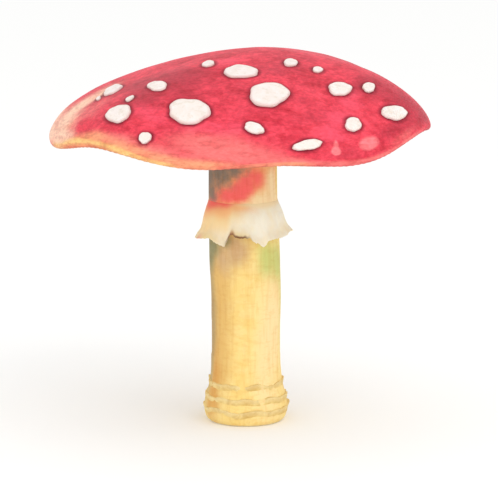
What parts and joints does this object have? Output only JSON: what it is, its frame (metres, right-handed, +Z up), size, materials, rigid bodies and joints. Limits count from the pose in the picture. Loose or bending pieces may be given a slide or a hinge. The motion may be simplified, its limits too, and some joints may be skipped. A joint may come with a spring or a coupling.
{
  "type": "fly agaric mushroom",
  "caption": "Picked fly agaric mushroom with a broad red warted cap, pale gills, a ringed ochre stem and a foot trimmed flat so that it stands.",
  "frame": {"origin": "centre of the trimmed, flat foot of the stem", "axes": "+Z up along the stem, -Y the front, +X to the right seen from the front"},
  "size_m": [0.1484, 0.1484, 0.1472],
  "materials": {
    "cap_skin": "satin",
    "gill_cream": "matte",
    "stem_ochre": "matte",
    "ring_cream": "matte",
    "belt_buff": "matte",
    "wart_felt": "matte"
  },
  "bodies": {
    "root": {"cap": "cap_skin", "gills": "gill_cream", "stem": "stem_ochre", "ring_skirt": "ring_cream", "volva_belt_1": "belt_buff", "volva_belt_2": "belt_buff", "volva_belt_3": "belt_buff", "wart_01": "wart_felt", "wart_02": "wart_felt", "wart_03": "wart_felt", "wart_04": "wart_felt", "wart_05": "wart_felt", "wart_06": "wart_felt", "wart_07": "wart_felt", "wart_08": "wart_felt", "wart_09": "wart_felt", "wart_10": "wart_felt", "wart_11": "wart_felt", "wart_12": "wart_felt", "wart_13": "wart_felt", "wart_14": "wart_felt", "wart_15": "wart_felt", "wart_16": "wart_felt", "wart_17": "wart_felt", "wart_18": "wart_felt", "wart_19": "wart_felt", "wart_20": "wart_felt", "wart_21": "wart_felt", "wart_22": "wart_felt", "wart_23": "wart_felt", "wart_24": "wart_felt", "wart_25": "wart_felt", "wart_26": "wart_felt", "wart_27": "wart_felt", "wart_28": "wart_felt", "wart_29": "wart_felt", "wart_30": "wart_felt", "wart_31": "wart_felt", "wart_32": "wart_felt"}
  },
  "joints": []
}
